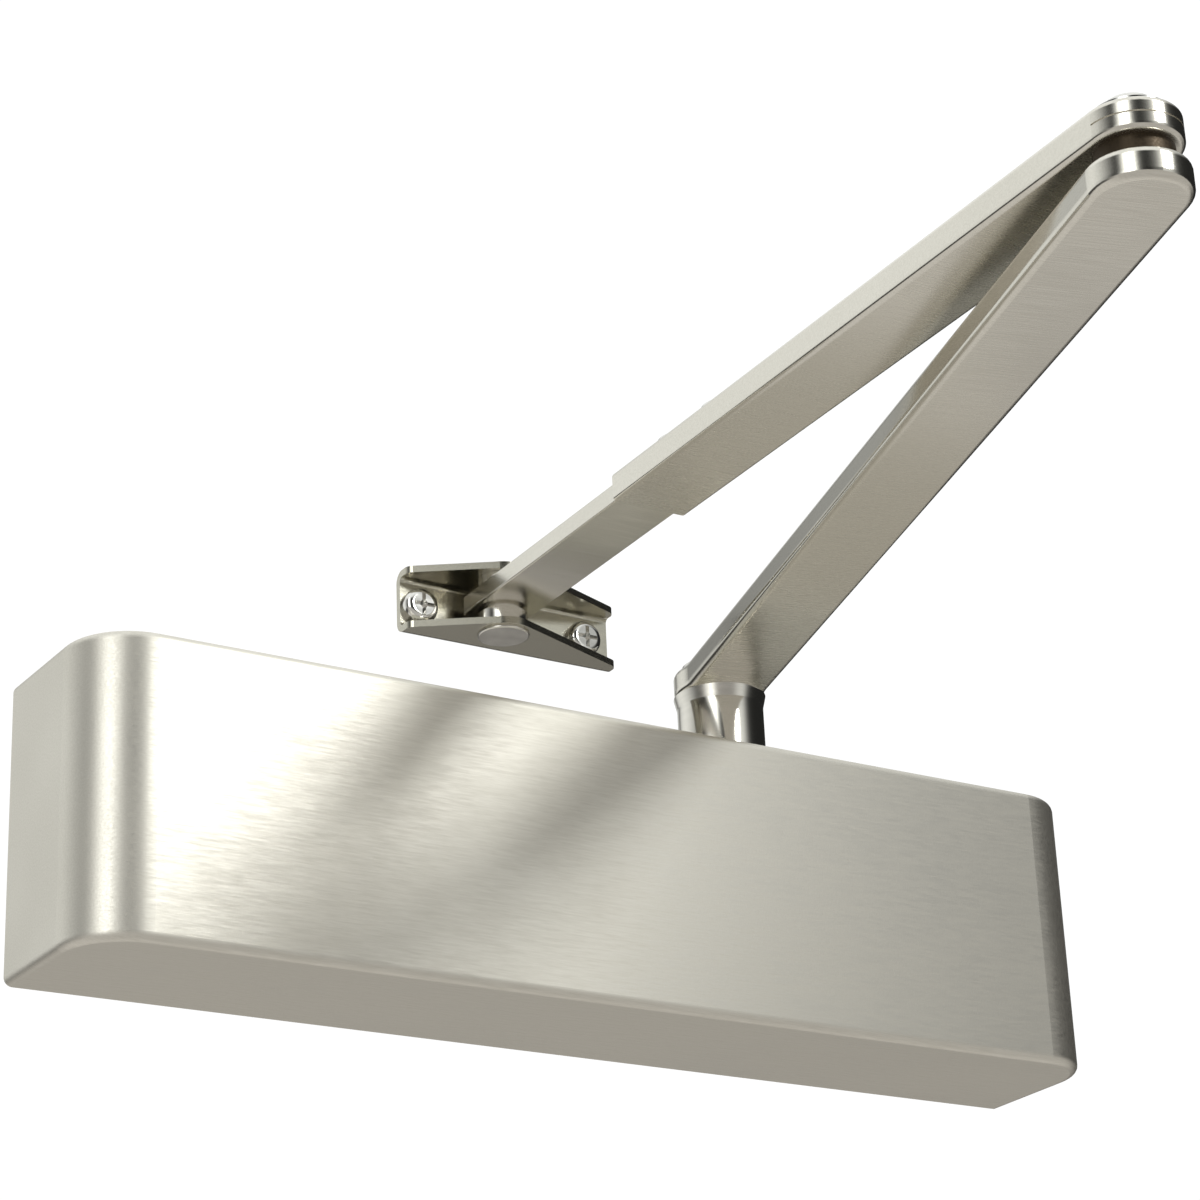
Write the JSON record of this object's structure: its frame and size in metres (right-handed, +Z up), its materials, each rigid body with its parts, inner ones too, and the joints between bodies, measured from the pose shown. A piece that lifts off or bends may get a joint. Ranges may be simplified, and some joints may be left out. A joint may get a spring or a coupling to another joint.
{
  "type": "door closer",
  "caption": "overhead door closer: satin nickel covered body, rack-and-pinion mechanism, folding two-part arm and pivoting shoe for the door frame",
  "frame": {"origin": "centre of the four body fixing holes, on the face of the door the body is fixed to", "axes": "+X along the cover, +Y into the door, +Z up; the door face is the plane Y = 0"},
  "size_m": [0.24, 0.2391, 0.0991],
  "materials": {
    "cover_nickel": "satin nickel finish on formed sheet, fine grain along the length",
    "spring_strip": "blued spring strip",
    "zinc_screw": "zinc-plated steel",
    "cast_body": "die-cast body, silver paint",
    "plug_steel": "turned steel",
    "seal_rubber": "nitrile rubber",
    "bearing_steel": "ground bearing steel",
    "spindle_steel": "ground alloy steel",
    "collar_nickel": "polished nickel plate",
    "piston_iron": "ground cast iron",
    "spring_steel": "oiled spring wire",
    "valve_brass": "turned brass",
    "arm_nickel": "satin nickel plate on steel",
    "bar_nickel": "bright nickel plate on steel",
    "screw_chrome": "bright plated steel",
    "bush_bronze": "dark sintered bronze",
    "spacer_chrome": "bright plated steel",
    "shoe_nickel": "satin nickel plate on pressed steel"
  },
  "bodies": {
    "closer_body": {"housing": "cast_body", "cover": "cover_nickel", "cover_clips": "spring_strip", "cover_clip_screws": "zinc_screw", "valve_end_plug": "plug_steel", "spring_end_plug": "plug_steel", "plug_seals": "seal_rubber", "upper_bearing": "bearing_steel", "lower_bearing": "bearing_steel", "upper_bearing_nut": "plug_steel", "lower_bearing_nut": "plug_steel", "upper_shaft_seal": "seal_rubber", "lower_shaft_seal": "seal_rubber"},
    "spindle_and_arm": {"pinion_spindle": "spindle_steel", "spindle_collar": "collar_nickel", "main_arm": "arm_nickel", "arm_washer": "screw_chrome", "arm_screw": "screw_chrome", "elbow_stud": "spindle_steel", "elbow_washer": "screw_chrome", "elbow_screw": "screw_chrome"},
    "forearm": {"forearm_tube": "arm_nickel", "elbow_bush": "bush_bronze", "forearm_lock_screws": "screw_chrome"},
    "forearm_rod": {"forearm_bar": "bar_nickel", "shoe_spacers": "spacer_chrome"},
    "frame_shoe": {"shoe_bracket": "shoe_nickel", "shoe_rivet": "spacer_chrome", "shoe_screws": "screw_chrome"},
    "piston": {"rack_piston": "piston_iron", "check_valve_cap": "bearing_steel"},
    "ball": {"check_ball": "bearing_steel"},
    "adjuster": {"power_adjuster": "zinc_screw", "adjuster_seal": "seal_rubber", "adjuster_circlip": "spring_strip"},
    "seat_and_springs": {"spring_seat": "plug_steel", "outer_spring": "spring_steel", "inner_spring": "spring_steel"},
    "closing_screw": {"closing_valve": "valve_brass", "closing_valve_seal": "seal_rubber"},
    "latching_screw": {"latching_valve": "valve_brass", "latching_valve_seal": "seal_rubber"},
    "backcheck_screw": {"backcheck_valve": "valve_brass", "backcheck_valve_seal": "seal_rubber"}
  },
  "joints": [
    {"name": "spindle_turn", "type": "hinge", "parent": "closer_body", "child": "spindle_and_arm", "pos_m": [0.0365, -0.01899, 0.04], "axis": [0, 0, 1], "range_deg": [-180, 0], "stiffness_Nm_per_rad": 4, "springref_deg": 45.84},
    {"name": "elbow", "type": "hinge", "parent": "spindle_and_arm", "child": "forearm", "pos_m": [-0.02142, -0.22998, 0.056], "axis": [0, 0, 1], "range_deg": [-3, 150]},
    {"name": "forearm_slide", "type": "slide", "parent": "forearm", "child": "forearm_rod", "axis": [0.0147, 0.9999, 0], "range_m": [-0.02, 0.04]},
    {"name": "shoe_pivot", "type": "hinge", "parent": "forearm_rod", "child": "frame_shoe", "pos_m": [-0.01833, -0.0194, 0.061], "axis": [0, 0, 1], "range_deg": [-75, 75]},
    {"name": "piston_slide", "type": "slide", "parent": "closer_body", "child": "piston", "axis": [1, 0, 0], "range_m": [-0.0256, 0], "deforming": ["outer_spring", "inner_spring"]},
    {"name": "check_ball_lift", "type": "slide", "parent": "piston", "child": "ball", "axis": [1, 0, 0], "range_m": [0, 0.0008]},
    {"name": "adjuster_turn", "type": "hinge", "parent": "closer_body", "child": "adjuster", "pos_m": [-0.09, -0.01899, 0], "axis": [1, 0, 0], "range_deg": [0, 2165]},
    {"name": "seat_slide", "type": "slide", "parent": "closer_body", "child": "seat_and_springs", "axis": [1, 0, 0], "range_m": [0, 0.009], "deforming": ["outer_spring", "inner_spring"]},
    {"name": "closing_turn", "type": "hinge", "parent": "closer_body", "child": "closing_screw", "pos_m": [0.09, -0.01899, 0.01859], "axis": [1, 0, 0], "range_deg": [-360, 360]},
    {"name": "latching_turn", "type": "hinge", "parent": "closer_body", "child": "latching_screw", "pos_m": [0.09, -0.01899, -0.01859], "axis": [1, 0, 0], "range_deg": [-360, 360]},
    {"name": "backcheck_turn", "type": "hinge", "parent": "closer_body", "child": "backcheck_screw", "pos_m": [-0.09, -0.01899, 0.01859], "axis": [1, 0, 0], "range_deg": [-360, 360]}
  ],
  "couplings": [
    {"joint": "piston_slide", "follows": "spindle_turn", "m_per_rad": 0.008125},
    {"joint": "adjuster_turn", "follows": "seat_slide", "rad_per_m": 4188.8}
  ]
}
